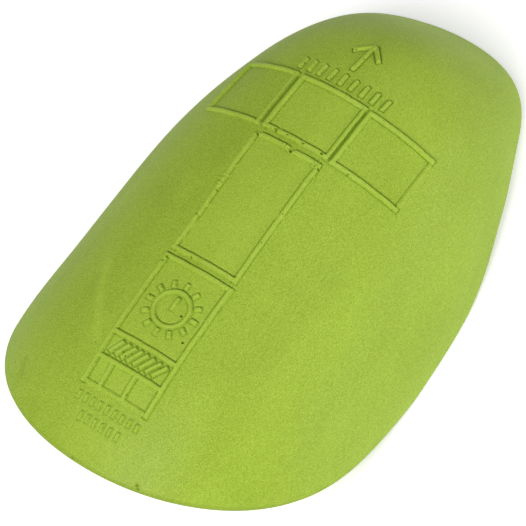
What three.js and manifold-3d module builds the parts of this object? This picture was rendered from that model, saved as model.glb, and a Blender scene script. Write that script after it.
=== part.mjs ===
// Foam armour insert for a bent limb, moulded in one piece and resting on its rim with the hollow below.
// Millimetres, +Z up. +Y runs along the limb to the closed top end, and the floor is at z = 0.
import * as THREE from 'three';
import { mergeVertices } from 'three/addons/utils/BufferGeometryUtils.js';
import Module from 'manifold-3d';

// Outer form: half ellipses across the limb, drawn on a base plane that lies restCut under the floor
const halfLength = 90;
const restCut = 1; // the flats that the rim rests on take this much off
const sections = [
  // y: place along the limb, crown: height on the centre line, half: half width before the end is rounded
  { y: -90, crown: 39.5, half: 50 },
  { y: -60, crown: 48.5, half: 55.5 },
  { y: -30, crown: 51, half: 55 },
  { y: 0, crown: 52.5, half: 54 },
  { y: 30, crown: 51.5, half: 49.5 },
  { y: 50, crown: 48, half: 43 },
  { y: 70, crown: 33.5, half: 40.5 },
  { y: 90, crown: restCut, half: 48.5 },
];
const topRoundStart = 45; // from here the plan closes to the top end as an ellipse

// Rim: level along both sides, a slight arch before the top end, and a long rise to the open lower end
const riseStart = -3;
const risePower = 1.9;
const sideArch = 4;
const archEnd = 86;

// Wall: thick in the middle, thin at the rim
const wallMiddle = 9;
const wallRim = 3.5;

// Raised ribs of the crown, placed by their distance from the centre line along the surface and by y
const ribWidth = 2.3;
const ribHeight = 0.9;
const ribSink = 0.8;
const ribTopShare = 0.55;
const ribStep = 5;
const frameHalf = 10.5; // half width of the middle column
const frameGap = 2.2; // between the ribs of neighbouring frames
const sideFrameWidth = 21.8;
const topRow = { from: 17.3, to: 35.5 };
const longFrame = { from: -26.1, to: 13.3 };
const lowFrame = { from: -69.5, to: -29.7 };
const crossRibs = [-54.3, -61.8]; // under the dial, and under the hatched band
const cellRibs = [-5.2, 2.8]; // between the three cells

// Plain marks: an arrow to the top end, rows of bars and pips, and a dial
const markWidth = 1.5;
const markHeight = 0.7;
const arrow = { tail: 44.5, tip: 55, barb: 4.2 };
const barRow = { from: 38.3, to: 41.7, pitch: 3.6, count: 9 };
const hatch = { from: -60.1, to: -56.2, lean: 1.2, pitch: 2.1, count: 8 };
const dial = { y: -42.2, ring: 5.2, tickFrom: 6.6, tickTo: 8.2, ticks: 12, sides: 20, hand: 3.4 };
const pipRows = [
  // y: place along the limb, count: pips in the row, pitch: between pips
  { y: -74, count: 9, pitch: 2.5 },
  { y: -78.6, count: 6, pitch: 2.5 },
];
const pipLength = 1.6;

const cellsAcross = 32;
const cellsAlong = 44;

const wasm = await Module();
wasm.setup();

const clamp = THREE.MathUtils.clamp;

// Natural cubic spline through one column of the section table
function splineThrough(column) {
  const at = sections.map((row) => row.y);
  const value = sections.map((row) => row[column]);
  const last = at.length - 1;
  const ratio = new Array(last + 1).fill(0);
  const load = new Array(last + 1).fill(0);
  const bend = new Array(last + 1).fill(0);
  for (let i = 1; i < last; i++) {
    const before = at[i] - at[i - 1];
    const after = at[i + 1] - at[i];
    const kink = (value[i + 1] - value[i]) / after - (value[i] - value[i - 1]) / before;
    const pivot = 2 * (before + after) - before * ratio[i - 1];
    ratio[i] = after / pivot;
    load[i] = (6 * kink - before * load[i - 1]) / pivot;
  }
  for (let i = last - 1; i > 0; i--) bend[i] = load[i] - ratio[i] * bend[i + 1];
  return (y) => {
    let i = 0;
    while (i < last - 1 && y > at[i + 1]) i++;
    const span = at[i + 1] - at[i];
    const b = (y - at[i]) / span;
    const a = 1 - b;
    const curve = ((a ** 3 - a) * bend[i] + (b ** 3 - b) * bend[i + 1]) * span ** 2 / 6;
    return a * value[i] + b * value[i + 1] + curve;
  };
}

const crownAt = splineThrough('crown');
const plainHalfAt = splineThrough('half');

function halfAt(y) {
  const share = clamp((y - topRoundStart) / (halfLength - topRoundStart), 0, 1);
  return plainHalfAt(y) * Math.sqrt(1 - share ** 2);
}

// Height of the rim over the base plane
function rimAt(y) {
  const rise = clamp((riseStart - y) / (riseStart + halfLength), 0, 1);
  const arch = Math.sin(Math.PI * clamp(y / archEnd, 0, 1));
  return crownAt(-halfLength) * rise ** risePower + sideArch * arch ** 2;
}

// Outer surface at an angle down from the crown, in the section at y
function outerPoint(angle, y) {
  const z = crownAt(y) * Math.cos(angle) - restCut;
  return new THREE.Vector3(halfAt(y) * Math.sin(angle), y, z);
}

// Outward normal there, from the slopes of the section's height and half width along y
function outerNormal(angle, y) {
  const reach = 0.01;
  const at = Math.min(y, halfLength - 2 * reach);
  const crown = crownAt(at);
  const half = halfAt(at);
  const crownSlope = (crownAt(at + reach) - crownAt(at - reach)) / (2 * reach);
  const halfSlope = (halfAt(at + reach) - halfAt(at - reach)) / (2 * reach);
  const sine = Math.sin(angle);
  const cosine = Math.cos(angle);
  const alongY = -crown * halfSlope * sine ** 2 - half * crownSlope * cosine ** 2;
  return new THREE.Vector3(crown * sine, alongY, half * cosine).normalize();
}

// Unit square to unit disc, so that the square's edge becomes the rim
function discPlace(s, t) {
  return { p: s * Math.sqrt(1 - t ** 2 / 2), q: t * Math.sqrt(1 - s ** 2 / 2) };
}

// Section and angle of a place on the disc: the rim is at the disc's edge, the crown on its middle line
function sectionPlace({ p, q }) {
  const y = halfLength * q;
  const reach = Math.sqrt(Math.max(1 - q ** 2, 0));
  const share = reach > 1e-6 ? clamp(p / reach, -1, 1) : 0;
  const crown = Math.max(crownAt(y), 1e-6);
  return { angle: share * Math.acos(clamp(rimAt(y) / crown, 0, 1)), y };
}

function wallAt({ p, q }) {
  const middle = 1 - Math.min(p ** 2 + q ** 2, 1) ** 2;
  return wallRim + (wallMiddle - wallRim) * middle;
}

// Closed mesh to solid
function solidOf(geometry) {
  geometry.deleteAttribute('normal');
  geometry.deleteAttribute('uv');
  const merged = mergeVertices(geometry, 1e-4);
  const vertProperties = new Float32Array(merged.getAttribute('position').array);
  const triVerts = new Uint32Array(merged.getIndex().array);
  return new wasm.Manifold(new wasm.Mesh({ numProp: 3, vertProperties, triVerts }));
}

function geometryFrom(points, triangles) {
  const geometry = new THREE.BufferGeometry().setFromPoints(points);
  geometry.setIndex(triangles);
  return geometry;
}

// The plain shell: an outer sheet, an inner sheet one wall inside it, and the strip that joins their rims
function shellSolid() {
  const sheet = new THREE.PlaneGeometry(2, 2, cellsAcross, cellsAlong);
  const place = sheet.getAttribute('position');
  const outer = [];
  const inner = [];
  for (let i = 0; i < place.count; i++) {
    const disc = discPlace(place.getX(i), place.getY(i));
    const { angle, y } = sectionPlace(disc);
    outer.push(outerPoint(angle, y));
    inner.push(outerPoint(angle, y).addScaledVector(outerNormal(angle, y), -wallAt(disc)));
  }

  const columns = cellsAcross + 1;
  const rim = [];
  for (let row = 0; row < cellsAlong; row++) rim.push(row * columns);
  for (let column = 0; column < cellsAcross; column++) rim.push(cellsAlong * columns + column);
  for (let row = cellsAlong; row > 0; row--) rim.push(row * columns + cellsAcross);
  for (let column = cellsAcross; column > 0; column--) rim.push(column);

  const face = sheet.getIndex().array;
  const count = place.count;
  const triangles = [...face];
  for (let i = 0; i < face.length; i += 3) {
    triangles.push(face[i] + count, face[i + 2] + count, face[i + 1] + count);
  }
  rim.forEach((a, i) => {
    const b = rim[(i + 1) % rim.length];
    triangles.push(b, a, a + count, b, a + count, b + count);
  });
  return solidOf(geometryFrom([...outer, ...inner], triangles));
}

// Angle of the point that lies a distance across the outer surface from the centre line
function angleFor({ across, y }) {
  const strides = 24;
  const half = halfAt(y);
  const crown = crownAt(y);
  let angle = 0;
  for (let i = 0; i < strides; i++) {
    angle += across / strides / Math.hypot(half * Math.cos(angle), crown * Math.sin(angle));
  }
  return angle;
}

// Corner points of a path with stops between them, so that a rib follows the surface
function stopsAlong(corners, closed) {
  const ends = closed ? [...corners, corners[0]] : corners;
  const stops = [];
  for (let i = 0; i < ends.length - 1; i++) {
    const from = new THREE.Vector2(ends[i].across, ends[i].y);
    const to = new THREE.Vector2(ends[i + 1].across, ends[i + 1].y);
    const parts = Math.max(1, Math.round(from.distanceTo(to) / ribStep));
    for (let k = 0; k < parts; k++) {
      const at = from.clone().lerp(to, k / parts);
      stops.push({ across: at.x, y: at.y });
    }
  }
  if (!closed) stops.push(corners[corners.length - 1]);
  return stops;
}

// A raised rib along a path on the surface, sunk a little so that it fuses with the shell
function ribSolid(corners, { closed = false, width = ribWidth, height = ribHeight } = {}) {
  const stops = stopsAlong(corners, closed);
  const count = stops.length;
  const angles = stops.map(angleFor);
  const points = stops.map(({ y }, i) => outerPoint(angles[i], y));
  const flank = width / 2;
  const crest = flank * ribTopShare;
  const profile = [[-flank, -ribSink], [flank, -ribSink], [crest, height], [-crest, height]];
  const rings = [];
  points.forEach((point, i) => {
    const normal = outerNormal(angles[i], stops[i].y);
    const previous = points[closed ? (i + count - 1) % count : Math.max(i - 1, 0)];
    const next = points[closed ? (i + 1) % count : Math.min(i + 1, count - 1)];
    const arriving = point.clone().sub(previous).normalize();
    const leaving = next.clone().sub(point).normalize();
    const side = arriving.clone().add(leaving).cross(normal).normalize();
    const square = (arriving.lengthSq() > 0 ? arriving : leaving).clone().cross(normal).normalize();
    const mitre = 1 / Math.max(side.dot(square), 0.5);
    profile.forEach(([x, z]) => {
      rings.push(point.clone().addScaledVector(side, x * mitre).addScaledVector(normal, z));
    });
  });
  const sides = profile.length;
  const triangles = [];
  const spans = closed ? count : count - 1;
  for (let i = 0; i < spans; i++) {
    for (let k = 0; k < sides; k++) {
      const a = i * sides + k;
      const b = i * sides + (k + 1) % sides;
      const c = ((i + 1) % count) * sides + (k + 1) % sides;
      const d = ((i + 1) % count) * sides + k;
      triangles.push(a, c, b, a, d, c);
    }
  }
  if (!closed) {
    const end = (count - 1) * sides;
    triangles.push(0, 1, 2, 0, 2, 3, end, end + 2, end + 1, end, end + 3, end + 2);
  }
  return solidOf(geometryFrom(rings, triangles));
}

function frameSolid(left, right, from, to) {
  const corners = [
    { across: left, y: from },
    { across: right, y: from },
    { across: right, y: to },
    { across: left, y: to },
  ];
  return ribSolid(corners, { closed: true });
}

function frameSolids() {
  const sideFrom = frameHalf + frameGap;
  const sideTo = sideFrom + sideFrameWidth;
  const solids = [
    frameSolid(-sideTo, -sideFrom, topRow.from, topRow.to),
    frameSolid(-frameHalf, frameHalf, topRow.from, topRow.to),
    frameSolid(sideFrom, sideTo, topRow.from, topRow.to),
    frameSolid(-frameHalf, frameHalf, longFrame.from, longFrame.to),
    frameSolid(-frameHalf, frameHalf, lowFrame.from, lowFrame.to),
  ];
  for (const y of crossRibs) {
    solids.push(ribSolid([{ across: -frameHalf, y }, { across: frameHalf, y }]));
  }
  for (const across of cellRibs) {
    solids.push(ribSolid([{ across, y: lowFrame.from }, { across, y: crossRibs[1] }]));
  }
  return solids;
}

function markSolid(corners, closed = false) {
  return ribSolid(corners, { closed, width: markWidth, height: markHeight });
}

// Places of a row of equal marks about the centre line
function rowPlaces({ count, pitch }) {
  return Array.from({ length: count }, (_, i) => (i - (count - 1) / 2) * pitch);
}

function dialPoint(radius, turn) {
  return { across: radius * Math.sin(turn), y: dial.y + radius * Math.cos(turn) };
}

function markSolids() {
  const { tail, tip, barb } = arrow;
  const solids = [
    markSolid([{ across: 0, y: tail }, { across: 0, y: tip }]),
    markSolid([{ across: -barb, y: tip - barb }, { across: 0, y: tip }, { across: barb, y: tip - barb }]),
  ];
  for (const across of rowPlaces(barRow)) {
    solids.push(markSolid([{ across, y: barRow.from }, { across, y: barRow.to }]));
  }
  for (const across of rowPlaces(hatch)) {
    solids.push(markSolid([{ across: across - hatch.lean, y: hatch.from },
      { across: across + hatch.lean, y: hatch.to }]));
  }
  for (const { y, count, pitch } of pipRows) {
    for (const across of rowPlaces({ count, pitch })) {
      solids.push(markSolid([{ across, y: y - pipLength / 2 }, { across, y: y + pipLength / 2 }]));
    }
  }
  const ring = Array.from({ length: dial.sides }, (_, i) => dialPoint(dial.ring, 2 * Math.PI * i / dial.sides));
  solids.push(markSolid(ring, true));
  for (let i = 0; i < dial.ticks; i++) {
    const turn = 2 * Math.PI * i / dial.ticks;
    solids.push(markSolid([dialPoint(dial.tickFrom, turn), dialPoint(dial.tickTo, turn)]));
  }
  solids.push(markSolid([dialPoint(0, 0), dialPoint(dial.hand, 0)]));
  return solids;
}

// What lies under the floor plane is cut off, which leaves the flats that the rim rests on
function underFloor() {
  const size = 4 * halfLength;
  const block = new THREE.BoxGeometry(size, size, size);
  block.translate(0, 0, -size / 2);
  return solidOf(block);
}

function meshOf(solid, name, material) {
  const { vertProperties, triVerts } = solid.getMesh();
  const geometry = new THREE.BufferGeometry();
  geometry.setAttribute('position', new THREE.BufferAttribute(vertProperties, 3));
  geometry.setIndex(new THREE.BufferAttribute(triVerts, 1));
  geometry.computeVertexNormals();
  const mesh = new THREE.Mesh(geometry, material);
  mesh.name = name;
  return mesh;
}

let body = shellSolid();
for (const rib of [...frameSolids(), ...markSolids()]) body = body.add(rib);
body = body.subtract(underFloor());

const foam = new THREE.MeshStandardMaterial({ color: 0xa0bc46, roughness: 0.85, metalness: 0 });
const insert = new THREE.Group();
insert.add(meshOf(body, 'foam_shell', foam));

export default insert;
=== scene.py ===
import math
import random

import bpy
import numpy as np
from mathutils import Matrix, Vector, noise


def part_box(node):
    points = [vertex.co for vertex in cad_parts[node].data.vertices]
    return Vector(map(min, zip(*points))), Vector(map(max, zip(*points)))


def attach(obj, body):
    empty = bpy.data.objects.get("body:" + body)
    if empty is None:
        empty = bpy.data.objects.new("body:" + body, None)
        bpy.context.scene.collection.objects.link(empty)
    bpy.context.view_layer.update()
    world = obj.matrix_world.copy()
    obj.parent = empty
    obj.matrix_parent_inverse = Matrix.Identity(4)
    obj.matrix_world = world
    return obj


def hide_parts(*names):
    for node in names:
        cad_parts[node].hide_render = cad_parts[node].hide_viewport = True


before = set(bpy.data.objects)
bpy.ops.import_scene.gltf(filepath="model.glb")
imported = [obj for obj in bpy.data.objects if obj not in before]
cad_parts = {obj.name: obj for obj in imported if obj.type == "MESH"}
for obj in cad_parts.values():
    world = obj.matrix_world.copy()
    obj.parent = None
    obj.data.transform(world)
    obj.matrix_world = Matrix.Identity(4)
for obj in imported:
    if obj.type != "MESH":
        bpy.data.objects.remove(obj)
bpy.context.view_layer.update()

lowCorner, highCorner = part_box("foam_shell")

# The moulded foam shell. Its sizes are in millimetres, and unit turns them into the frame's metres.
shell = {
    "length": 180,
    "restCut": 1,          # the rim's flats lie this far over the base plane of the sections
    "sections": [          # y along the limb, crown height, half width before the top end is rounded
        (-90, 39.5, 50),
        (-60, 48.5, 55.5),
        (-30, 51, 55),
        (0, 52.5, 54),
        (30, 51.5, 49.5),
        (50, 48, 43),
        (70, 33.5, 40.5),
        (90, 1, 48.5),
    ],
    "topRoundStart": 45,   # from here the half width is rounded off
    "riseStart": -3,       # from here the rim climbs to the open lower end
    "risePower": 1.9,
    "sideArch": 4,         # the rim lifts this much between the middle and the top end
    "archEnd": 86,
    "wallMiddle": 9,
    "wallRim": 3.5,
    "cellsAcross": 84,
    "cellsAlong": 104,
    "edgeRow": 0.994,      # share of the way out of the grid's last row but one
    "rimReach": 0.988,     # the sheet stops this far out, and the rounded rim makes up the rest
    "besideRim": 0.98,     # the way outward at the rim is taken from a point this share of the way out
    "rimBulge": 1.1,
    "rimCuts": 5,
    "rimShade": 0.3,       # share of the painted shade on the rim where the outer surface meets it
}
unit = (highCorner.y - lowCorner.y) / shell["length"]
halfLength = shell["length"] / 2
tiny = 1e-6                # keeps a divisor away from zero


# Natural cubic spline through one column of the section table
def splineThrough(column):
    at = np.array([row[0] for row in shell["sections"]], float)
    value = np.array([row[column] for row in shell["sections"]], float)
    span = np.diff(at)
    slope = np.diff(value) / span
    matrix = np.eye(len(at))
    load = np.zeros(len(at))
    for i in range(1, len(at) - 1):
        matrix[i, i - 1:i + 2] = span[i - 1], 2 * (span[i - 1] + span[i]), span[i]
        load[i] = 6 * (slope[i] - slope[i - 1])
    bend = np.linalg.solve(matrix, load)

    def curve(y):
        i = np.clip(np.searchsorted(at, y) - 1, 0, len(span) - 1)
        b = (y - at[i]) / span[i]
        a = 1 - b
        lift = ((a ** 3 - a) * bend[i] + (b ** 3 - b) * bend[i + 1]) * span[i] ** 2 / 6
        return a * value[i] + b * value[i + 1] + lift

    return curve


crownAt = splineThrough(1)
plainHalfAt = splineThrough(2)


# Half width of a section, rounded off to nothing at the top end
def halfAt(y):
    start = shell["topRoundStart"]
    share = np.clip((y - start) / (halfLength - start), 0, 1)
    return plainHalfAt(y) * np.sqrt(1 - share ** 2)


# Height of the rim over the base plane, never under the flats that it rests on
def rimAt(y):
    rise = np.clip((shell["riseStart"] - y) / (shell["riseStart"] + halfLength), 0, 1)
    arch = np.sin(np.pi * np.clip(y / shell["archEnd"], 0, 1))
    climb = crownAt(-halfLength) * rise ** shell["risePower"]
    return np.maximum(climb + shell["sideArch"] * arch ** 2, shell["restCut"])


# Angle at which the section's curve ends in the rim
def rimAngle(y):
    return np.arccos(np.clip(rimAt(y) / np.maximum(crownAt(y), tiny), 0, 1))


# Point of the outer surface at an angle from the crown
def outerPoint(angle, y):
    height = crownAt(y) * np.cos(angle) - shell["restCut"]
    return np.stack([halfAt(y) * np.sin(angle), y, height], 1)


# Square to the outer surface, from the slopes of the sections a short reach to both sides
def outerNormal(angle, y):
    reach = 0.01
    at = np.minimum(y, halfLength - 2 * reach)
    crown, half = crownAt(at), halfAt(at)
    crownSlope = (crownAt(at + reach) - crownAt(at - reach)) / (2 * reach)
    halfSlope = (halfAt(at + reach) - halfAt(at - reach)) / (2 * reach)
    sine, cosine = np.sin(angle), np.cos(angle)
    alongY = -crown * halfSlope * sine ** 2 - half * crownSlope * cosine ** 2
    normal = np.stack([crown * sine, alongY, half * cosine], 1)
    return normal / np.linalg.norm(normal, axis=1, keepdims=True)


# Stretch of the section's curve for a small turn of the angle
def stretchAt(angle, y):
    return np.hypot(halfAt(y) * np.cos(angle), crownAt(y) * np.sin(angle))


# Distance over the surface from the centre line, by equal strides of the angle
def acrossAt(angle, y):
    strides = 24
    middles = (np.arange(strides) + 0.5)[:, None] / strides * angle
    return stretchAt(middles, y).mean(axis=0) * angle


# Angle from the crown of points on or near the outer surface
def angleOf(points):
    y = points[:, 1]
    return np.arctan2(points[:, 0] / halfAt(y), (points[:, 2] + shell["restCut"]) / crownAt(y))


# Angle of a place that lies a distance across the surface, nearing it from a first guess
def angleFor(across, y, guess):
    angle = guess
    rounds = 3
    for _ in range(rounds):
        angle = angle - (acrossAt(angle, y) - across) / stretchAt(angle, y)
    return angle


# Share of the section's own reach: 1 on the outer surface, less on the inner one
def reachOf(points):
    y = points[:, 1]
    wide = points[:, 0] / np.maximum(halfAt(y), tiny)
    tall = (points[:, 2] + shell["restCut"]) / np.maximum(crownAt(y), tiny)
    return np.hypot(wide, tall)


# Vertices of a mesh in millimetres, and back
def readPoints(obj):
    flat = np.empty(len(obj.data.vertices) * 3)
    obj.data.vertices.foreach_get("co", flat)
    return flat.reshape(-1, 3) / unit


def writePoints(obj, points):
    obj.data.vertices.foreach_set("co", (points * unit).ravel())
    obj.data.update()


# A share from 0 to 1 at each vertex, for the material to read
def writeShare(obj, name, share):
    obj.data.attributes.new(name, "FLOAT", "POINT").data.foreach_set("value", share)


def faceCentres(obj):
    flat = np.empty(len(obj.data.polygons) * 3)
    obj.data.polygons.foreach_get("center", flat)
    return flat.reshape(-1, 3) / unit


# Selects faces in code and cuts each of them once along both its ways
def splitFaces(obj, chosen):
    bpy.ops.object.mode_set(mode="EDIT")
    bpy.ops.mesh.select_mode(type="FACE")
    bpy.ops.mesh.select_all(action="DESELECT")
    bpy.ops.object.mode_set(mode="OBJECT")
    obj.data.polygons.foreach_set("select", chosen)
    bpy.ops.object.mode_set(mode="EDIT")
    bpy.ops.mesh.subdivide(number_cuts=1, ngon=False)
    bpy.ops.object.mode_set(mode="OBJECT")


# Section and angle of a place on the unit disc, whose edge is the rim and whose middle line is the crown
def discPlace(p, q):
    y = halfLength * q
    reach = np.sqrt(np.maximum(1 - q ** 2, tiny))
    share = np.clip(p / reach, -1, 1)
    return share * rimAngle(y), y


# Distance of a point's place from the middle of that disc
def discReach(points):
    q = points[:, 1] / halfLength
    share = np.abs(angleOf(points)) / np.maximum(rimAngle(points[:, 1]), tiny)
    return np.sqrt(share ** 2 * (1 - q ** 2) + q ** 2)


# Pulls the grid's last row but one out to one distance from the disc's edge, but not into its corners.
# The rows run from -1 to 1, two cells' shares apart.
def pullToEdge(places, beside, cells):
    besideEdge = (np.abs(places) > 1 - 3 / cells) & (np.abs(places) < 1 - 1 / cells)
    left = (1 - shell["edgeRow"] ** 2) / np.maximum(1 - beside ** 2, tiny)
    pulled = np.maximum(np.abs(places), np.sqrt(np.maximum(1 - left, 0)))
    return np.where(besideEdge, np.sign(places) * pulled, places)


# A flat grid is drawn into the outer sheet, and a Solidify gives it the wall
def makeShell():
    bpy.ops.object.select_all(action="DESELECT")
    bpy.ops.mesh.primitive_grid_add(
        x_subdivisions=shell["cellsAcross"], y_subdivisions=shell["cellsAlong"], size=2, location=(0, 0, 0))
    obj = bpy.context.object
    obj.name = "padded_shell"
    flat = np.empty(len(obj.data.vertices) * 3)
    obj.data.vertices.foreach_get("co", flat)
    s = pullToEdge(flat[0::3], flat[1::3], shell["cellsAcross"])
    t = pullToEdge(flat[1::3], flat[0::3], shell["cellsAlong"])

    # square to disc, so that the grid's edge becomes the rim
    p = s * np.sqrt(1 - t ** 2 / 2) * shell["rimReach"]
    q = t * np.sqrt(1 - s ** 2 / 2) * shell["rimReach"]
    outer = outerPoint(*discPlace(p, q))
    writePoints(obj, outer)
    onRim = np.maximum(np.abs(s), np.abs(t)) > 1 - tiny
    inner = outerPoint(*discPlace(p[onRim] * shell["besideRim"], q[onRim] * shell["besideRim"]))
    outward = outer[onRim] - inner
    outward /= np.linalg.norm(outward, axis=1, keepdims=True)

    wall = obj.vertex_groups.new(name="wall")
    middle = 1 - np.minimum(p ** 2 + q ** 2, 1) ** 2
    thickness = shell["wallRim"] + (shell["wallMiddle"] - shell["wallRim"]) * middle
    for i, depth in enumerate(thickness):
        wall.add([i], depth / shell["wallMiddle"], "REPLACE")
    solidify = obj.modifiers.new("wall", "SOLIDIFY")
    solidify.thickness = shell["wallMiddle"] * unit
    solidify.offset = -1
    solidify.vertex_group = "wall"
    bpy.ops.object.modifier_apply(modifier="wall")
    roundRim(obj, outward, onRim)
    print("shell:", len(obj.data.polygons), "faces before the relief")
    return obj


# The strip between the two sheets is split along its length and swelled into a round rim
def roundRim(obj, outward, onRim):
    count = len(onRim)
    ends = np.empty(len(obj.data.edges) * 2, int)
    obj.data.edges.foreach_get("vertices", ends)
    ends = ends.reshape(-1, 2)
    bpy.ops.object.mode_set(mode="EDIT")
    bpy.ops.mesh.select_mode(type="EDGE")
    bpy.ops.mesh.select_all(action="DESELECT")
    bpy.ops.object.mode_set(mode="OBJECT")
    obj.data.edges.foreach_set("select", (ends[:, 0] < count) != (ends[:, 1] < count))
    bpy.ops.object.mode_set(mode="EDIT")
    bpy.ops.mesh.subdivide(number_cuts=shell["rimCuts"])
    bpy.ops.object.mode_set(mode="OBJECT")

    points = readPoints(obj)
    start, end = points[:count][onRim], points[count:2 * count][onRim]
    across = end - start
    edge = np.zeros(len(points))
    # painted shade on the outer surface's last ring and over the rounded rim, darkest where it bulges out
    edge[:count] = shell["rimShade"] * onRim
    for i in range(2 * count, len(points)):
        share = np.clip(((points[i] - start) * across).sum(1) / (across ** 2).sum(1), 0, 1)
        gap = np.linalg.norm(start + across * share[:, None] - points[i], axis=1)
        k = int(np.argmin(gap))
        turn = math.pi * share[k]
        points[i] = start[k] + across[k] * (1 - math.cos(turn)) / 2
        points[i] += outward[k] * shell["rimBulge"] * math.sin(turn)
        edge[i] = max(shell["rimShade"] * (1 - share[k]), math.sin(turn))
    points[:, 2] = np.maximum(points[:, 2], 0)
    writePoints(obj, points)
    writeShare(obj, "edge", edge)


# Raised ribs and plain marks. Places are (across, y): over the surface from the centre line, and along it.
relief = {
    "ribWidth": 1.35,
    "ribHeight": 0.75,
    "ribOverrun": 0.5,     # share of its width by which a bar runs past its end points
    "markWidth": 1.25,
    "markHeight": 0.7,
    "markOverrun": 0.2,
    "pipWidth": 0.85,
    "pipHeight": 0.6,
    "pipOverrun": 0.2,
    "flankShare": 0.42,    # of half the width, taken by the sloping side
    "grooveWidth": 0.45,   # fine groove round the foot of every rib and mark
    "grooveDepth": 0.36,
    "grooveTop": 0.9,      # no groove is cut where a rib stands at this share of its height
    "crossGrooves": [(0.65, 0.5), (0.75, 0.1)],    # strength of the grooves to the left and right of a bar, and of their painted shade
    "cellGrooves": (0.75, 1.0),
    "markGrooves": (1.0, 1.0),
    "dialGrooves": (0.6, 0.6),
    "pipGrooves": (0.5, 0.5),
    "frames": [            # left, right, lower and upper rib
        (-35.2, -13.3, 16.95, 35.75),
        (-10.6, 10.6, 17.05, 35.6),
        (12.6, 34.6, 16.8, 35.4),
        (-11.05, 10.15, -26.4, 13.8),
        (-11.05, 10.55, -70.0, -29.3),
    ],
    "frameGrooves": [      # of each frame, inside and outside its lower, right, upper and left rib; these set each groove's depth and its painted shade
        ((0.6, 0.0), (0.3, 0.2), (0.1, 0.8), (1.0, 0.0)),
        ((0.75, 0.2), (0.9, 0.5), (0.5, 0.9), (0.8, 0.3)),
        ((0.7, 0.6), (0.7, 0.0), (0.7, 0.75), (0.4, 0.5)),
        ((0.6, 0.1), (0.8, 0.65), (0.1, 0.65), (0.8, 0.5)),
        ((0.5, 0.0), (0.85, 0.65), (0.1, 0.7), (1.0, 0.4)),
    ],
    "faintRibs": {(2, 1): 0.4, (4, 0): 0.5},    # share of its height that is left to a frame's rib
    "jog": {               # the broken left rib of one frame
        "frame": 3,
        "upperEnd": -14.7,
        "lowerStart": -16.0,
        "lean": 0.65,
        "step": 0.3,
    },
    "gutters": [           # gap between two frames, sunk and darkened with painted shade: across, lower end, upper end, half width
        (-12.4, 17.6, 35.4, 0.6),
        (11.5, 17.4, 35.2, 0.5),
    ],
    "crossRibs": (-54.7, -62.35),    # y of the two ribs across the last frame
    "cellRibs": (-5.6, 2.3),         # places across of the ribs between its cells
    "arrow": {"tail": 44.5, "tip": 55, "barb": 4.2},
    "barRow": {"from": 38.3, "to": 41.7, "pitch": 3.6, "count": 9},
    "hatch": {"from": -60.3, "to": -56.4, "lean": 1.2, "pitch": 2.1, "count": 8},
    "dial": {"y": -42.2, "ring": 5.2, "tickFrom": 6.6, "tickTo": 8.2, "ticks": 12, "hand": 3.4},
    "pipRows": ((-74, 9, 2.5), (-78.6, 6, 2.5)),    # y, count, pitch
    "pipLength": 1.8,
    "wobble": 0.16,        # how far the lines waver, over which length, and two layers of the noise
    "wobbleLength": 5,
    "wobbleLayers": (1, 5),
    "margins": (2.6, 1.5, 0.75),    # the skin is split once more within each of these of the relief
    "snap": 0.105,         # points this close to a line of the relief slide onto it
    "skinStart": 0.94,     # share of the section's reach over which a point is on the outer skin
    "skinEnd": 0.95,       # share of the way to the rim that relief and wear may reach
}

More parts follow.
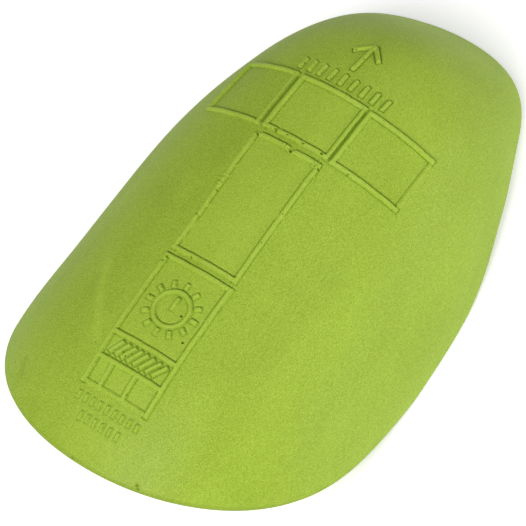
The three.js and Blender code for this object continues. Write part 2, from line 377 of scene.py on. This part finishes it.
# Wear and moulding faults of the skin
wear = {
    "pits": [              # across, y, radius, depth
        (-6.3, 16.9, 0.60, 0.90),
        (-2.4, 17.0, 0.32, 0.48),
        (2.9, 16.9, 0.38, 0.60),
        (8.9, 17.1, 0.45, 0.80),
        (-14.1, 17.2, 0.30, 0.56),
        (-10.3, 13.6, 0.45, 0.72),
        (1.2, 13.4, 0.50, 0.80),
        (10.7, 12.7, 0.36, 0.70),
        (5.7, 36.2, 0.38, 0.56),
        (-11.0, -31.4, 0.38, 0.56),
        (-10.7, -29.9, 0.34, 0.56),
        (-4.1, -27.0, 0.26, 0.32),
        (9.6, -25.4, 0.30, 0.48),
        (10.3, -3.6, 0.22, 0.32),
        (10.2, -13.6, 0.22, 0.40),
        (3.5, -42.5, 0.36, 0.64),
        (8.2, -48.5, 0.36, 0.64),
    ],
    "smoothed": [          # across, y, radius of places where a rib is lost
        (1.1, 14.2, 1.5),
        (-5.6, 18.0, 0.7),
        (-10.7, 14.7, 1.5),
    ],
    "roughSpots": [        # across, y, radius
        (-11.0, -3.2, 2.2),
        (-1.0, 13.8, 2.0),
        (9.4, 13.6, 1.8),
    ],
    "roughness": 0.7,
    "roughLength": 0.6,
    "roughLayer": 3,
    "pinHoles": 30,
    "pinAlong": (0.04, 0.96),    # share of a bar's length
    "pinBeside": (0.3, 0.55),    # share of a bar's width
    "pinRadius": (0.14, 0.24),
    "pinDepth": 0.35,
    "spotMargin": 0.15,    # the skin is split once more within this of a pit or hole
    "spotClear": 0.45,     # points nearer to a pit than this stay where they are
    "spotShade": 1.0,
    "wave": 0.1,           # slow unevenness of the whole skin, its length, layer and fade towards the rim
    "waveLength": 22,
    "waveLayer": 9,
    "waveFade": 0.12,
    "scuff": [(-27.6, -37.8), (-25.4, -42.8), (-21.5, -49), (-15.3, -58)],
    "crease": [(-35.8, -71), (-34.8, -73.4), (-33.5, -75.8)],
    "scuffWidth": 1.3,
    "creaseWidth": 0.7,
    "creaseShade": 0.3,
    "nicks": [             # x, y, radius, depth of bites out of the lower rim
        (-2.4, -89.2, 0.8, 0.5),
        (-1.4, -89.3, 0.6, 0.35),
        (17.4, -86.0, 0.6, 0.4),
        (18.1, -86.7, 0.6, 0.4),
    ],
    "nickSplits": 3,
    "nickMargin": 1.6,
    "nickNear": 12,        # the highest of so many points near a nick gives its height
    "stains": [            # across, y, reach across, reach along
        (21.4, 66.5, 5, 4),
        (26.4, -19.8, 5, 3.5),
        (31.3, -11.2, 4.5, 3),
        (-17, 3, 4, 9),
        (-15, -11.5, 3, 4),
        (-27.5, -13.2, 5, 4),
        (-27.4, -46.8, 3, 5),
        (-32.5, -76, 4, 3),
        (-21.8, -82.8, 5, 2.5),
        (71, 3, 7, 22),
        (45, -71, 10, 5),
    ],
    "stainShade": 0.12,
    "bleached": [          # paler areas, in the same terms
        (3, -82, 15, 8),
        (-16, 54, 12, 8),
        (-16.6, -55.4, 2.6, 3.2),
        (7, 53, 14, 9),
        (26, 37, 9, 10),
    ],
    "bleach": 0.5,
    "palePanels": (1, 3, 4),    # frames whose inside is paler
    "panelBleach": 0.6,
    "scuffBleach": 1.0,
    "lineHeight": 0.14,    # of the scuff, and depth of the crease
    "seed": 11,
}


# Small bites out of the rim: the faces round them are split, their points pushed in, and painted shade
# darkens them
def nickRim(obj):
    points = readPoints(obj)
    middles = []
    for x, y, _, _ in wear["nicks"]:
        beside = np.hypot(points[:, 0] - x, points[:, 1] - y)
        middles.append((x, y, points[np.argsort(beside)[:wear["nickNear"]], 2].max()))
    for _ in range(wear["nickSplits"]):
        centres = faceCentres(obj)
        gaps = [np.linalg.norm(centres - middle, axis=1) for middle in middles]
        splitFaces(obj, np.min(gaps, axis=0) < wear["nickMargin"])
    points = readPoints(obj)
    normals = np.empty(points.size)
    obj.data.vertices.foreach_get("normal", normals)
    normals = normals.reshape(-1, 3)
    edge = np.empty(len(points))
    obj.data.attributes["edge"].data.foreach_get("value", edge)
    for middle, (_, _, radius, depth) in zip(middles, wear["nicks"]):
        inside = np.clip(1 - (np.linalg.norm(points - middle, axis=1) / radius) ** 2, 0, 1)
        points = points - normals * (depth * inside)[:, None]
        # painted shade inside each nick
        edge = np.maximum(edge, inside)
    writePoints(obj, points)
    obj.data.attributes["edge"].data.foreach_set("value", edge)
    print("rim:", len(middles), "nicks")


# A straight raised bar of one kind, a rib, mark or pip; its grooves lie to the left and right of its run
def makeBar(kind, start, end, grooves, tall=1):
    width = relief[kind + "Width"]
    return {
        "start": start,
        "end": end,
        "width": width,
        "height": relief[kind + "Height"] * tall,
        "overrun": relief[kind + "Overrun"] * width,
        "grooves": grooves,
    }


def ribBar(start, end, grooves, tall=1):
    return makeBar("rib", start, end, grooves, tall)


def markBar(start, end, grooves=relief["markGrooves"]):
    return makeBar("mark", start, end, grooves)


# The ribs of a frame run round it with its inside to their left
def frameBars(number):
    left, right, low, high = relief["frames"][number]
    corners = [(left, low), (right, low), (right, high), (left, high), (left, low)]
    frameGrooves = relief["frameGrooves"][number]
    bars = []
    for side, grooves in enumerate(frameGrooves):
        tall = relief["faintRibs"].get((number, side), 1)
        bars.append(ribBar(corners[side], corners[side + 1], grooves, tall))
    jog = relief["jog"]
    if number == jog["frame"]:
        foot = left + jog["step"]
        bars[-1] = ribBar((left, high), (left + jog["lean"], jog["upperEnd"]), frameGrooves[-1])
        bars.append(ribBar((foot, jog["lowerStart"]), (foot, low), frameGrooves[-1]))
    return bars


# Places of a row, evenly to both sides of the centre line
def rowPlaces(count, pitch):
    return [(i - (count - 1) / 2) * pitch for i in range(count)]


def dialPoint(radius, turn):
    return (radius * math.sin(turn), relief["dial"]["y"] + radius * math.cos(turn))


def allRibs():
    bars = [bar for number in range(len(relief["frames"])) for bar in frameBars(number)]
    left, right, low, _ = relief["frames"][-1]
    inset = relief["ribWidth"] / 2    # the inner ribs end in the middle of the ribs that they meet
    for y, grooves in zip(relief["crossRibs"], relief["crossGrooves"]):
        bars.append(ribBar((left + inset, y), (right - inset, y), grooves))
    high = relief["crossRibs"][1] - inset
    bars += [ribBar((x, low + inset), (x, high), relief["cellGrooves"]) for x in relief["cellRibs"]]
    return bars


def allMarks():
    arrow, row, hatch, dial = relief["arrow"], relief["barRow"], relief["hatch"], relief["dial"]
    shoulder = arrow["tip"] - arrow["barb"]
    bars = [
        markBar((0, arrow["tail"]), (0, arrow["tip"])),
        markBar((-arrow["barb"], shoulder), (0, arrow["tip"])),
        markBar((arrow["barb"], shoulder), (0, arrow["tip"])),
    ]
    bars += [markBar((x, row["from"]), (x, row["to"])) for x in rowPlaces(row["count"], row["pitch"])]
    lean = hatch["lean"]
    bars += [markBar((x - lean, hatch["from"]), (x + lean, hatch["to"]))
             for x in rowPlaces(hatch["count"], hatch["pitch"])]
    for y, count, pitch in relief["pipRows"]:
        reach = relief["pipLength"] / 2
        bars += [makeBar("pip", (x, y - reach), (x, y + reach), relief["pipGrooves"])
                 for x in rowPlaces(count, pitch)]
    for i in range(dial["ticks"]):
        turn = 2 * math.pi * i / dial["ticks"]
        tick = dialPoint(dial["tickFrom"], turn), dialPoint(dial["tickTo"], turn)
        bars.append(markBar(*tick, relief["dialGrooves"]))
    bars.append(markBar(dialPoint(0, 0), dialPoint(dial["hand"], 0), relief["dialGrooves"]))
    return bars


ribs = allRibs()
marks = allMarks()
allBars = ribs + marks
wideBars = [bar for bar in allBars if bar["width"] > relief["pipWidth"]]    # all but the pips


# Fine holes by the edges of the wide bars
def pinHoles():
    draw = random.Random(wear["seed"])
    holes = []
    for _ in range(wear["pinHoles"]):
        bar = draw.choice(wideBars)
        share = draw.uniform(*wear["pinAlong"])
        beside = draw.choice((-1, 1)) * draw.uniform(*wear["pinBeside"]) * bar["width"]
        (x0, y0), (x1, y1) = bar["start"], bar["end"]
        length = math.hypot(x1 - x0, y1 - y0)
        x = x0 + (x1 - x0) * share - beside * (y1 - y0) / length
        y = y0 + (y1 - y0) * share + beside * (x1 - x0) / length
        holes.append((x, y, draw.uniform(*wear["pinRadius"]), wear["pinDepth"]))
    return holes


spots = wear["pits"] + pinHoles()    # across, y, radius, depth


# Place along and beside a bar's middle line, with the line's length and direction
def barPlace(bar, across, y):
    (x0, y0), (x1, y1) = bar["start"], bar["end"]
    length = math.hypot(x1 - x0, y1 - y0)
    ux, uy = (x1 - x0) / length, (y1 - y0) / length
    along = (across - x0) * ux + (y - y0) * uy - length / 2
    beside = (y - y0) * ux - (across - x0) * uy
    return along, beside, length, ux, uy


# How far inside a bar's outline a place lies
def barDepth(bar, across, y):
    along, beside, length, _, _ = barPlace(bar, across, y)
    return np.minimum(bar["width"] / 2 - np.abs(beside), length / 2 + bar["overrun"] - np.abs(along))


# The same for the dial's ring
def ringDepth(across, y):
    dial = relief["dial"]
    return relief["markWidth"] / 2 - np.abs(np.hypot(across, y - dial["y"]) - dial["ring"])


# How far inside the nearest pit or hole a place lies
def spotDepth(across, y):
    return np.max([radius - np.hypot(across - x, y - at) for x, at, radius, _ in spots], axis=0)


# Distance of a place from a line of straight pieces
def lineDistance(line, across, y):
    gaps = []
    for (x0, y0), (x1, y1) in zip(line, line[1:]):
        share = ((across - x0) * (x1 - x0) + (y - y0) * (y1 - y0)) / ((x1 - x0) ** 2 + (y1 - y0) ** 2)
        share = np.clip(share, 0, 1)
        gaps.append(np.hypot(across - x0 - share * (x1 - x0), y - y0 - share * (y1 - y0)))
    return np.min(gaps, axis=0)


# Depth inside the nearest rib, mark or pit, negative outside them all
def reliefDepth(across, y):
    depth = np.maximum(ringDepth(across, y), spotDepth(across, y))
    for bar in allBars:
        depth = np.maximum(depth, barDepth(bar, across, y))
    return depth


# Width of a bar's sloping side
def flankOf(width):
    return width / 2 * relief["flankShare"]


# Steep at the foot and round at the shoulder, as moulded foam leaves the tool
def profile(depth, width, height):
    return height * np.sin(np.clip(depth / flankOf(width), 0, 1) * np.pi / 2)


# A foot's groove is deepest in the middle of its width
def grooveShape(depth):
    return np.sin(np.pi * np.clip(-depth / relief["grooveWidth"], 0, 1)) ** 2


# Height of the relief, and how deep a place lies in a foot's groove
def reliefHeight(across, y):
    depth = ringDepth(across, y)
    height = profile(depth, relief["markWidth"], relief["markHeight"])
    groove = relief["dialGrooves"][0] * grooveShape(depth)
    for bar in allBars:
        depth = barDepth(bar, across, y)
        height = np.maximum(height, profile(depth, bar["width"], bar["height"]))
        strength = np.where(barPlace(bar, across, y)[1] > 0, *bar["grooves"])
        # the groove's strength also sets how dark its painted shade is
        groove = np.maximum(groove, strength * grooveShape(depth))
    for x, low, high, half in relief["gutters"]:
        within = (y > low) & (y < high)
        groove = np.maximum(groove, within * np.clip(1 - ((across - x) / half) ** 2, 0, 1))
    groove = groove * np.clip(1 - 2 * height / relief["markHeight"], 0, 1)    # gone at half a mark's height
    for x, at, radius in wear["smoothed"]:
        kept = np.clip(np.hypot(across - x, y - at) / radius, 0, 1) ** 2
        height, groove = height * kept, groove * kept
    return height, groove


# Slides free points that lie close to a shoulder, foot or groove line onto it, so that the lines run clean
def slideToLines(across, y, free):
    for bar in wideBars:
        foot = bar["width"] / 2
        groove = relief["grooveWidth"]
        for line in (foot - flankOf(bar["width"]), foot, foot + groove / 2, foot + groove):
            along, beside, length, ux, uy = barPlace(bar, across, y)
            step = np.sign(beside) * line - beside
            hit = free & (np.abs(step) < relief["snap"]) & (np.abs(along) < length / 2 + bar["overrun"])
            across = across - np.where(hit, step, 0) * uy
            y = y + np.where(hit, step, 0) * ux
    return across, y


# Noise at places on the skin, from -1 to 1
def noiseAt(across, y, length, layer):
    return np.array([noise.noise(Vector((a / length, b / length, layer))) for a, b in zip(across, y)])


# Points of the outer surface, but for a border by the rim
def onOuterSkin(points):
    return (reachOf(points) > relief["skinStart"]) & (discReach(points) < relief["skinEnd"])


# Share of soft round patches at places on the skin
def patchesAt(patches, across, y):
    share = np.zeros(len(y))
    for x, at, wide, long in patches:
        share = np.maximum(share, np.exp(-((across - x) / wide) ** 2 - ((y - at) / long) ** 2))
    return share


# The skin is paler in some patches and on the panels inside some frames
def bleachAt(across, y):
    share = wear["bleach"] * patchesAt(wear["bleached"], across, y)
    for number in wear["palePanels"]:
        left, right, low, high = relief["frames"][number]
        within = (across > left) & (across < right) & (y > low) & (y < high)
        share = np.maximum(share, wear["panelBleach"] * within)
    return share


# Shares of stains and of paler places at all vertices, none on the inner surface
def skinTones(points):
    skin = reachOf(points) > relief["skinStart"]
    y = points[skin, 1]
    across = acrossAt(angleOf(points[skin]), y)
    dark, light = np.zeros(len(points)), np.zeros(len(points))
    dark[skin] = wear["stainShade"] * patchesAt(wear["stains"], across, y)
    light[skin] = bleachAt(across, y)
    return dark, light


# Splits the outer faces that lie within a margin of a form, which is given by its depth
def refine(obj, formDepth, margin):
    centres = faceCentres(obj)
    near = onOuterSkin(centres)
    y = centres[near, 1]
    chosen = np.zeros(len(centres), bool)
    chosen[near] = formDepth(acrossAt(angleOf(centres[near]), y), y) > -margin
    splitFaces(obj, chosen)


# Distance from the scuff and the crease, counted as a depth
def scuffDepth(across, y):
    return -np.minimum(lineDistance(wear["scuff"], across, y), lineDistance(wear["crease"], across, y))


# Splits the skin where it carries a line, relief or a pit, finer and finer
def splitSkin(obj):
    refine(obj, scuffDepth, 2 * wear["scuffWidth"])
    for margin in relief["margins"]:
        refine(obj, reliefDepth, margin)
    refine(obj, spotDepth, wear["spotMargin"])


# Rough spots, pits and holes change the relief's height, and painted shade darkens their dips
def wearRelief(across, y, height, groove):
    for x, at, radius in wear["roughSpots"]:
        inside = np.clip(1 - np.hypot(across - x, y - at) / radius, 0, 1)
        near = inside > 0
        rough = noiseAt(across[near], y[near], wear["roughLength"], wear["roughLayer"])
        rough = rough * np.sqrt(inside[near])
        height[near] += wear["roughness"] * rough
        groove[near] = np.maximum(groove[near], -rough)
    for x, at, radius, depth in spots:
        inside = np.clip(1 - (np.hypot(across - x, y - at) / radius) ** 2, 0, 1)
        height = height - depth * np.sqrt(inside)
        # painted shade inside pits and holes
        groove = np.maximum(groove, wear["spotShade"] * np.sqrt(inside))
    return height, groove


# Strength of a soft line, such as the scuff, at places on the skin
def lineShare(name, across, y):
    return np.exp(-(lineDistance(wear[name], across, y) / wear[name + "Width"]) ** 2)


# Moves the skin's points into ribs, marks and wear, and writes the tones that go with them: stains and paler
# places, painted shade in grooves, pits and the crease, and a painted highlight on crests
def raiseRelief(obj):
    splitSkin(obj)
    points = readPoints(obj)
    index = np.flatnonzero(onOuterSkin(points))
    y = points[index, 1]
    angle = angleOf(points[index])
    across = acrossAt(angle, y)
    wander, drift = [relief["wobble"] * noiseAt(across, y, relief["wobbleLength"], layer)
                     for layer in relief["wobbleLayers"]]
    free = spotDepth(across, y) < -wear["spotClear"]
    across, y = slideToLines(across + wander, y + drift, free)
    height, groove = reliefHeight(across, y)
    # the share of a rib's height also paints a highlight on rib and mark crests
    crest = np.clip(height / relief["ribHeight"], 0, 1)
    across, y = across - wander, y - drift
    angle = angleFor(across, y, angle)

    height, groove = wearRelief(across, y, height, groove)
    scuff = lineShare("scuff", across, y)
    crease = lineShare("crease", across, y)
    height = height - relief["grooveDepth"] * groove * (crest < relief["grooveTop"])
    height = height + wear["lineHeight"] * (scuff - crease)
    fade = np.clip((relief["skinEnd"] - discReach(points[index])) / wear["waveFade"], 0, 1)
    height += wear["wave"] * fade * noiseAt(across, y, wear["waveLength"], wear["waveLayer"])
    points[index] = outerPoint(angle, y) + outerNormal(angle, y) * height[:, None]
    writePoints(obj, points)

    dark, light = skinTones(points)
    # stains, joined with painted shade in the grooves round the feet, the gutters, pits, holes, rough dips
    # and the crease
    dark[index] = np.maximum(dark[index], np.maximum(groove, wear["creaseShade"] * crease))
    # paler patches, panels and the scuff, and a painted highlight on the crests, none in the grooves
    light[index] = np.maximum(light[index], np.maximum(crest, wear["scuffBleach"] * scuff)) * (1 - groove)
    writeShare(obj, "stainAndPaintedShade", dark)
    writeShare(obj, "crest", light)
    triangles = sum(len(face.vertices) - 2 for face in obj.data.polygons)
    print("relief:", triangles, "triangles,", len(ribs), "ribs and", len(marks) + 1, "marks")


def shadeSmooth(obj):
    bpy.ops.object.select_all(action="DESELECT")
    obj.select_set(True)
    bpy.context.view_layer.objects.active = obj
    bpy.ops.object.shade_smooth()


# Lime foam skin: fine grain, soft blotches, stains and paler places, painted shade in the feet, pits and
# rim, and a painted highlight on the crests
foam = {
    "deep": (0.245, 0.360, 0.016, 1),
    "pale": (0.485, 0.680, 0.080, 1),
    # colour of the stains and of the painted shade in grooves, pits and the crease
    "stainAndPaintedShade": (0.105, 0.200, 0.001, 1),
    # colour of the paler places and the scuff, and of the painted highlight on crests
    "crest": (0.580, 0.790, 0.095, 1),
    # colour of the painted shade on the rim and in its nicks
    "edge": (0.120, 0.170, 0.008, 1),
    "stainAndPaintedShadeShare": 0.75,
    "crestShare": 0.25,
    "edgeShare": 0.7,
    "toneRange": (0.3, 0.7),    # noise from here to there runs from the deep to the pale colour
    "roughness": (0.7, 0.9),
    "specular": 0.05,
    "skin": 0.3,           # share of the thin smooth skin over the grain
    "skinRoughness": 0.42,
    "grain": {"scale": 3000, "detail": 1, "stretch": (1, 1, 1)},
    "pores": {"scale": 1100, "detail": 2, "stretch": (1, 1, 1)},
    "blotch": {"scale": 50, "detail": 4, "stretch": (1, 0.4, 1)},
    "noiseRoughness": 0.6,
    "fineParts": (0.8, 0.2),    # grain and pores
    "toneParts": (0.8, 0.2),    # fine pattern and blotches
    "grainDepth": 0.0002,
}


def foamMaterial():
    material = bpy.data.materials.new("limeFoam")
    material.use_nodes = True
    nodes, links = material.node_tree.nodes, material.node_tree.links
    shader = nodes["Principled BSDF"]
    place = nodes.new("ShaderNodeTexCoord")

    def noiseNode(pattern):
        mapping = nodes.new("ShaderNodeMapping")
        mapping.inputs["Scale"].default_value = pattern["stretch"]
        links.new(place.outputs["Object"], mapping.inputs["Vector"])
        node = nodes.new("ShaderNodeTexNoise")
        node.inputs["Scale"].default_value = pattern["scale"]
        node.inputs["Detail"].default_value = pattern["detail"]
        node.inputs["Roughness"].default_value = foam["noiseRoughness"]
        links.new(mapping.outputs["Vector"], node.inputs["Vector"])
        return node.outputs["Fac"]

    def mathNode(operation, first, second):
        node = nodes.new("ShaderNodeMath")
        node.operation = operation
        for socket, value in zip(node.inputs, (first, second)):
            if isinstance(value, (int, float)):
                socket.default_value = value
            else:
                links.new(value, socket)
        return node.outputs["Value"]

    def blendNode(first, second, parts):
        return mathNode("ADD", mathNode("MULTIPLY", first, parts[0]), mathNode("MULTIPLY", second, parts[1]))

    def shareNode(name, most):
        node = nodes.new("ShaderNodeAttribute")
        node.attribute_name = name
        return mathNode("MULTIPLY", node.outputs["Fac"], most)

    def mixNode(share, first, second):
        node = nodes.new("ShaderNodeMix")
        node.data_type = "RGBA"
        links.new(share, node.inputs["Factor"])
        links.new(first, node.inputs["A"])
        node.inputs["B"].default_value = second
        return node.outputs["Result"]

    fine = blendNode(noiseNode(foam["grain"]), noiseNode(foam["pores"]), foam["fineParts"])
    tone = blendNode(fine, noiseNode(foam["blotch"]), foam["toneParts"])
    colour = nodes.new("ShaderNodeValToRGB")
    for stop, at, tint in zip(colour.color_ramp.elements, foam["toneRange"], (foam["deep"], foam["pale"])):
        stop.position = at
        stop.color = tint
    links.new(tone, colour.inputs["Fac"])
    # painted highlight on crests, together with the paler places and the scuff
    paledAndHighlit = mixNode(shareNode("crest", foam["crestShare"]), colour.outputs["Color"], foam["crest"])
    shaded = mixNode(shareNode("stainAndPaintedShade", foam["stainAndPaintedShadeShare"]), paledAndHighlit, foam["stainAndPaintedShade"])
    # painted shade on the rim and in its nicks
    edged = mixNode(shareNode("edge", foam["edgeShare"]), shaded, foam["edge"])
    links.new(edged, shader.inputs["Base Color"])

    polish = nodes.new("ShaderNodeMapRange")
    polish.inputs["From Min"].default_value = foam["toneRange"][0]
    polish.inputs["From Max"].default_value = foam["toneRange"][1]
    polish.inputs["To Min"].default_value = foam["roughness"][0]
    polish.inputs["To Max"].default_value = foam["roughness"][1]
    links.new(fine, polish.inputs["Value"])
    links.new(polish.outputs["Result"], shader.inputs["Roughness"])

    bump = nodes.new("ShaderNodeBump")
    bump.inputs["Strength"].default_value = 1
    bump.inputs["Distance"].default_value = foam["grainDepth"]
    links.new(fine, bump.inputs["Height"])
    links.new(bump.outputs["Normal"], shader.inputs["Normal"])

    shader.inputs["Specular IOR Level"].default_value = foam["specular"]
    shader.inputs["Coat Weight"].default_value = foam["skin"]
    shader.inputs["Coat Roughness"].default_value = foam["skinRoughness"]
    return material


# Studio: a pale floor, a white surround, a strong soft light at the front and weaker ones round it
studio = {
    "floorSize": 6,
    "floorColour": (0.9, 0.9, 0.9, 1),
    "floorRoughness": 0.9,
    "floorGlow": 0.45,     # the floor glows a little, a painted light as from a lit table top, and its glow fades under the shell into a painted shadow
    "shadeMiddle": (0, 0.008, 0),
    "shadeReach": (0.048, 0.074, 1),
    "shadeSoft": (0.2, 1.05),    # shares of that reach between which the glow sets in
    "surround": 0.2,
    "white": (1, 1, 1, 1),
    "lights": [            # name, place, width, height, power
        ("front_light", (0.15, -0.95, 1.15), 0.7, 0.7, 15.0),
        ("side_light", (0.9, 0.45, 0.17), 1.0, 0.25, 2.74),
        ("back_light", (0.1, 0.9, 0.9), 0.7, 0.7, 0.83),
        ("right_light", (0.25, 0.09, 0.31), 0.2, 0.2, 0.13),
    ],
    "aim": (0, 0, 0.02),
    "cameraPlace": (0.30844, -0.22434, 0.70294),
    "cameraTurn": (27.046, 10.391, 35.568),
    "lens": 188.58,
    "sensor": 36,
    "clipStart": 0.01,
}


def makeFloor():
    bpy.ops.object.select_all(action="DESELECT")
    bpy.ops.mesh.primitive_plane_add(size=studio["floorSize"], location=(0, 0, 0))
    floor = bpy.context.object
    floor.name = "floor"
    material = bpy.data.materials.new("paleFloor")
    material.use_nodes = True
    nodes, links = material.node_tree.nodes, material.node_tree.links
    shader = nodes["Principled BSDF"]
    shader.inputs["Base Color"].default_value = studio["floorColour"]
    shader.inputs["Roughness"].default_value = studio["floorRoughness"]
    shader.inputs["Emission Color"].default_value = studio["white"]

    # painted shadow under the shell: the glow grows with the distance from the middle of the shell
    place = nodes.new("ShaderNodeTexCoord")
    mapping = nodes.new("ShaderNodeMapping")
    mapping.vector_type = "TEXTURE"
    mapping.inputs["Location"].default_value = studio["shadeMiddle"]
    mapping.inputs["Scale"].default_value = studio["shadeReach"]
    links.new(place.outputs["Object"], mapping.inputs["Vector"])
    reach = nodes.new("ShaderNodeVectorMath")
    reach.operation = "LENGTH"
    links.new(mapping.outputs["Vector"], reach.inputs[0])
    glow = nodes.new("ShaderNodeMapRange")
    glow.interpolation_type = "SMOOTHSTEP"
    glow.inputs["From Min"].default_value = studio["shadeSoft"][0]
    glow.inputs["From Max"].default_value = studio["shadeSoft"][1]
    glow.inputs["To Max"].default_value = studio["floorGlow"]
    links.new(reach.outputs["Value"], glow.inputs["Value"])
    links.new(glow.outputs["Result"], shader.inputs["Emission Strength"])
    floor.data.materials.append(material)


def makeLights():
    world = bpy.data.worlds.new("surround")
    world.use_nodes = True
    background = world.node_tree.nodes["Background"]
    background.inputs["Color"].default_value = studio["white"]
    background.inputs["Strength"].default_value = studio["surround"]
    bpy.context.scene.world = world
    for name, place, width, height, power in studio["lights"]:
        bpy.ops.object.light_add(type="AREA", location=place)
        light = bpy.context.object
        light.name = name
        light.data.shape = "ELLIPSE"
        light.data.size = width
        light.data.size_y = height
        light.data.energy = power
        light.visible_camera = False
        toAim = Vector(studio["aim"]) - light.location
        light.rotation_euler = toAim.to_track_quat("-Z", "Y").to_euler()


def makeCamera():
    turn = [math.radians(angle) for angle in studio["cameraTurn"]]
    bpy.ops.object.camera_add(location=studio["cameraPlace"], rotation=turn)
    camera = bpy.context.object
    camera.data.lens = studio["lens"]
    camera.data.sensor_width = studio["sensor"]
    camera.data.sensor_fit = "HORIZONTAL"
    camera.data.clip_start = studio["clipStart"]
    bpy.context.scene.camera = camera


padded = makeShell()
nickRim(padded)
raiseRelief(padded)
shadeSmooth(padded)
padded.data.materials.append(foamMaterial())
print("foam: material set")
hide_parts("foam_shell")
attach(padded, "root")

makeFloor()
makeLights()
makeCamera()
bpy.context.scene.view_settings.view_transform = "Standard"
print("studio: floor, lights and camera are set")
